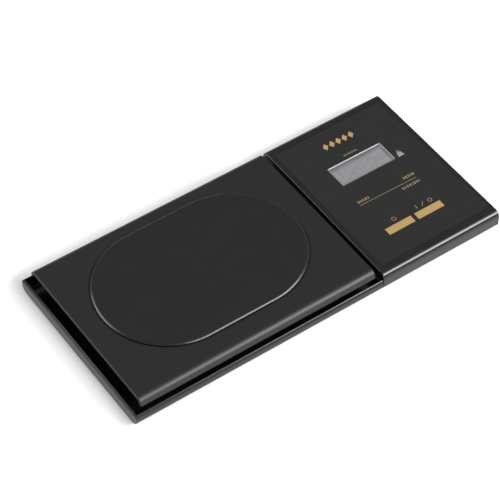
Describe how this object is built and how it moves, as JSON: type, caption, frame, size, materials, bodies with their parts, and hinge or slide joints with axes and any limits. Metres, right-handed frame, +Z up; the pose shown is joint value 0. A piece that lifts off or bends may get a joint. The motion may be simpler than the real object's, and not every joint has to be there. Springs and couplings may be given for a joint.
{
  "type": "digital gram scale",
  "caption": "Slim digital gram scale: flat tray with load cell, wide plate with raised oval, display block with two key bars and a coin cell bay.",
  "frame": {"origin": "middle of the footprint, on the surface that the rubber feet stand on", "axes": "+X from the weighing plate to the display block, -Y towards the user, +Z up"},
  "size_m": [0.15, 0.071, 0.0116],
  "materials": {
    "case_plastic": "moulded, semi-gloss",
    "gloss_case_plastic": "moulded, gloss edges",
    "cover_plastic": "moulded, fine texture",
    "plate_plastic": "fine satin texture",
    "panel_film": "satin printed film",
    "window_film": "clear film",
    "lcd_glass": "reflective liquid crystal display",
    "gold_key": "gold print",
    "holder_plastic": "moulded",
    "connector_rubber": "layered silicone",
    "board_green": "solder mask",
    "chip_black": "moulded epoxy",
    "component_metal": "cans and chips",
    "screw_steel": "zinc plated",
    "dome_steel": "spring steel",
    "load_cell_aluminium": "milled",
    "gauge_coating": "white silicone",
    "lead_insulation": "coloured insulation",
    "coin_steel": "nickel plated",
    "contact_metal": "nickel plated spring strip",
    "foot_rubber": "soft rubber",
    "carrier_aluminium": "pressed"
  },
  "bodies": {
    "root": {"base_tray": "case_plastic", "display_housing": "gloss_case_plastic", "front_panel_overlay": "panel_film", "lcd_window": "window_film", "lcd_module": "lcd_glass", "lcd_holder": "holder_plastic", "lcd_zebra_connector": "connector_rubber", "main_circuit_board": "board_green", "controller_chip": "chip_black", "board_components": "component_metal", "board_screws": "screw_steel", "housing_screws": "screw_steel", "off_key_dome": "dome_steel", "on_tare_key_dome": "dome_steel", "load_cell": "load_cell_aluminium", "strain_gauges": "gauge_coating", "load_cell_leads": "lead_insulation", "load_cell_screws": "screw_steel", "overload_stops": "screw_steel", "battery_holder": "holder_plastic", "coin_cell": "coin_steel", "battery_negative_contact": "contact_metal", "battery_positive_contact": "contact_metal", "rubber_feet": "foot_rubber"},
    "carrier": {"platform_carrier": "carrier_aluminium", "carrier_screws": "screw_steel", "platform_cushions": "foot_rubber"},
    "plate": {"weighing_platform": "plate_plastic"},
    "off_button": {"off_key": "gold_key"},
    "on_tare_button": {"on_tare_key": "gold_key"},
    "cover": {"battery_cover": "cover_plastic"}
  },
  "joints": [
    {"name": "platform_press", "type": "slide", "parent": "root", "child": "carrier", "axis": [0, 0, -1], "range_m": [0, 0.0004], "stiffness_N_per_m": 3000, "deforming": ["load_cell", "strain_gauges"]},
    {"name": "plate_lift", "type": "slide", "parent": "carrier", "child": "plate", "axis": [0, 0, 1], "range_m": [0, 0.02]},
    {"name": "off_key_press", "type": "slide", "parent": "root", "child": "off_button", "axis": [0, 0, -1], "range_m": [0, 0.00025], "stiffness_N_per_m": 600, "deforming": ["off_key_dome"]},
    {"name": "on_tare_key_press", "type": "slide", "parent": "root", "child": "on_tare_button", "axis": [0, 0, -1], "range_m": [0, 0.00025], "stiffness_N_per_m": 600, "deforming": ["on_tare_key_dome"]},
    {"name": "battery_cover_slide", "type": "slide", "parent": "root", "child": "cover", "axis": [1, 0, 0], "range_m": [0, 0.026]}
  ]
}
